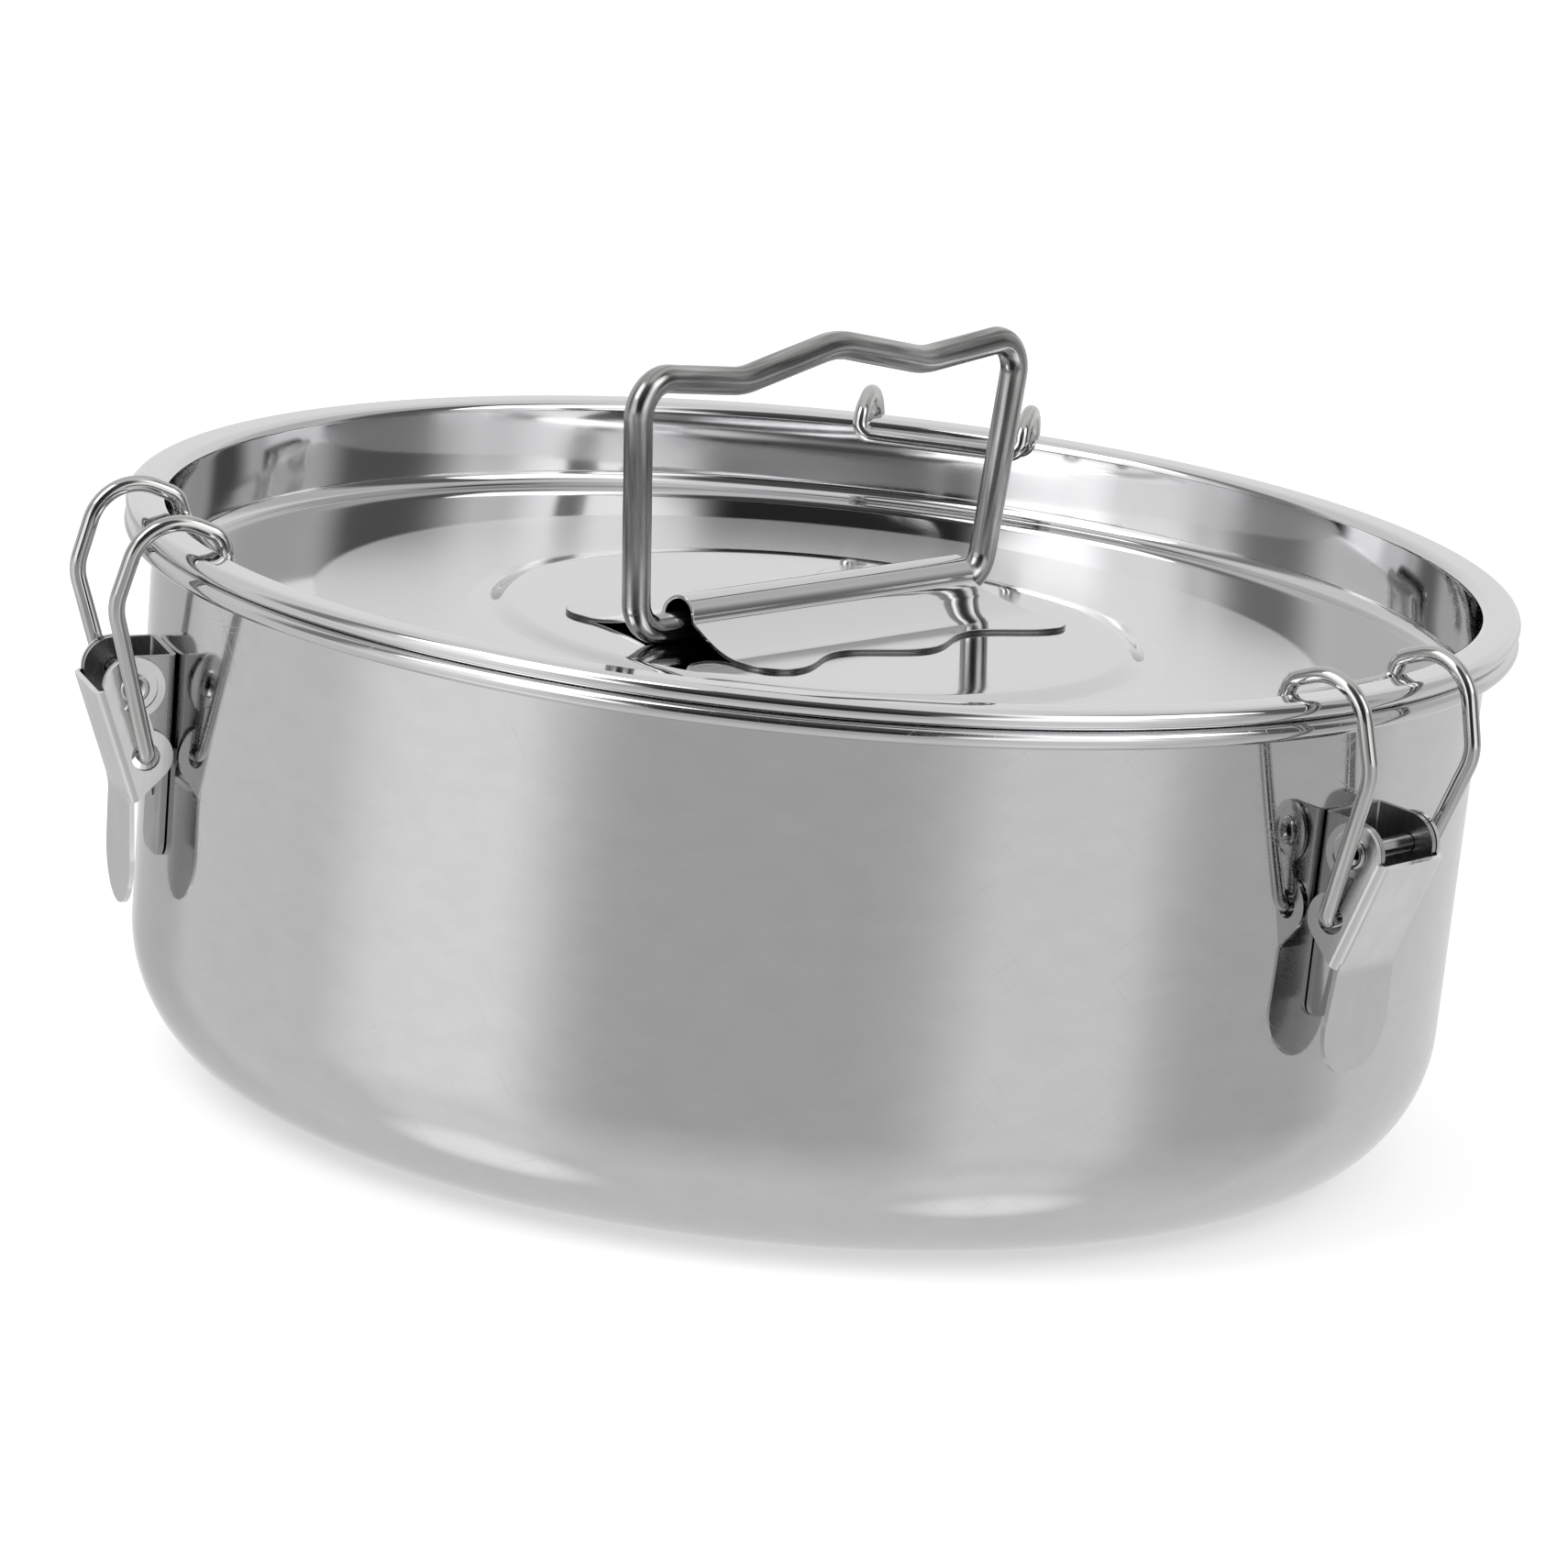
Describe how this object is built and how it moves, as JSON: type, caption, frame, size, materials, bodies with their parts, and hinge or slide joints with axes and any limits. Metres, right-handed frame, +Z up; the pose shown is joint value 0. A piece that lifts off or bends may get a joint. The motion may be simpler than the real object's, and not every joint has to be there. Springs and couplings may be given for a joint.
{
  "type": "flan mold",
  "caption": "Round stainless flan mold: a deep pan with a recessed lid, a folding wire handle on a pressed saddle, and toggle latches with wire loops that hold the lid down.",
  "frame": {"origin": "centre of the pan's flat base", "axes": "+Z up through the lid, +X along the handle's hinge line, -Y towards the latch on the picture's right"},
  "size_m": [0.172, 0.1787, 0.0972],
  "materials": {
    "polished_sheet": "polished stainless sheet with fine wipe marks",
    "drawn_wire": "drawn stainless wire, satin",
    "pressed_strip": "pressed stainless strip, satin",
    "bracket_strip": "pressed stainless strip, dull",
    "rolled_pin": "hollow pin, bright"
  },
  "bodies": {
    "mold": {"pan": "polished_sheet", "lid": "polished_sheet", "handle_saddle": "polished_sheet", "latch_bracket_1": "bracket_strip", "latch_pin_1": "rolled_pin", "latch_bracket_2": "bracket_strip", "latch_pin_2": "rolled_pin", "latch_bracket_3": "bracket_strip", "latch_pin_3": "rolled_pin"},
    "handle": {"handle_wire": "drawn_wire"},
    "lever_1": {"latch_lever_1": "pressed_strip"},
    "loop_1": {"latch_loop_1": "drawn_wire"},
    "lever_2": {"latch_lever_2": "pressed_strip"},
    "loop_2": {"latch_loop_2": "drawn_wire"},
    "lever_3": {"latch_lever_3": "pressed_strip"},
    "loop_3": {"latch_loop_3": "drawn_wire"}
  },
  "joints": [
    {"name": "handle_hinge", "type": "hinge", "parent": "mold", "child": "handle", "pos_m": [0, 0, 0.06257], "axis": [1, 0, 0], "range_deg": [-88, 88]},
    {"name": "lever_1_hinge", "type": "hinge", "parent": "mold", "child": "lever_1", "pos_m": [0.07504, 0.04473, 0.0519], "axis": [0.512, -0.859, 0], "range_deg": [0, 110]},
    {"name": "loop_1_hinge", "type": "hinge", "parent": "lever_1", "child": "loop_1", "pos_m": [0.07332, 0.04371, 0.0435], "axis": [0.512, -0.859, 0], "range_deg": [-66, 0]},
    {"name": "lever_2_hinge", "type": "hinge", "parent": "mold", "child": "lever_2", "pos_m": [-0.07565, 0.04368, 0.0519], "axis": [0.5, 0.866, 0], "range_deg": [0, 110]},
    {"name": "loop_2_hinge", "type": "hinge", "parent": "lever_2", "child": "loop_2", "pos_m": [-0.07392, 0.04268, 0.0435], "axis": [0.5, 0.866, 0], "range_deg": [-66, 0]},
    {"name": "lever_3_hinge", "type": "hinge", "parent": "mold", "child": "lever_3", "pos_m": [0.00396, -0.08727, 0.0519], "axis": [-0.999, -0.0454, 0], "range_deg": [0, 110]},
    {"name": "loop_3_hinge", "type": "hinge", "parent": "lever_3", "child": "loop_3", "pos_m": [0.00387, -0.08527, 0.0435], "axis": [-0.999, -0.0454, 0], "range_deg": [-66, 0]}
  ],
  "couplings": [
    {"joint": "loop_1_hinge", "follows": "lever_1_hinge", "ratio": -0.6},
    {"joint": "loop_2_hinge", "follows": "lever_2_hinge", "ratio": -0.6},
    {"joint": "loop_3_hinge", "follows": "lever_3_hinge", "ratio": -0.6}
  ]
}
